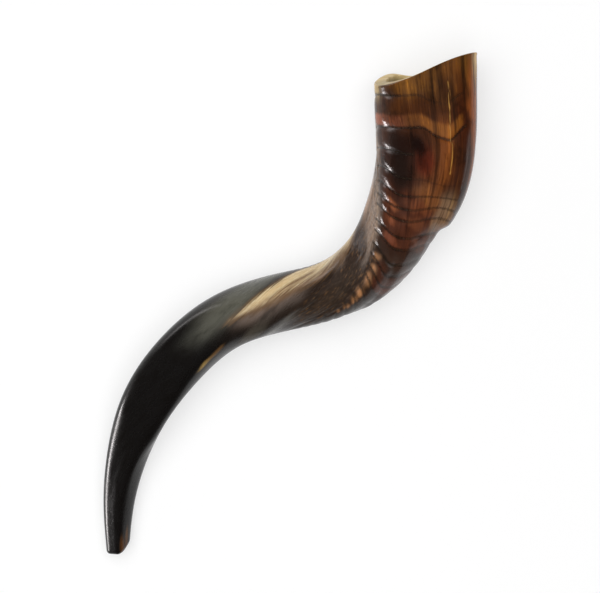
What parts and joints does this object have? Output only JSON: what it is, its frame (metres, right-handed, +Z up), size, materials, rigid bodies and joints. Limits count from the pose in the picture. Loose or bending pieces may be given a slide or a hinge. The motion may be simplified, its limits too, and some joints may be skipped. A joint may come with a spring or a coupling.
{
  "type": "shofar",
  "caption": "Blowing horn worked from a single ridged ram's horn: an S-curved, twisted horn with a black polished tip, a carved mouthpiece and an open amber-brown bell.",
  "frame": {"origin": "centre of the underside of the bounding box of the horn lying on its side, on the surface that it rests on", "axes": "+Y from the mouthpiece towards the bell, +X to the side that the bell lies on, +Z up from the surface that the horn rests on"},
  "size_m": [0.2348, 0.312, 0.0501],
  "materials": {
    "black_horn": "polished natural horn, near black",
    "brown_horn": "lacquered natural horn, amber and dark brown with growth ridges"
  },
  "bodies": {
    "root": {"mouthpiece": "black_horn", "blade": "black_horn", "shoulder": "black_horn", "waist": "brown_horn", "bell": "brown_horn"}
  },
  "joints": []
}
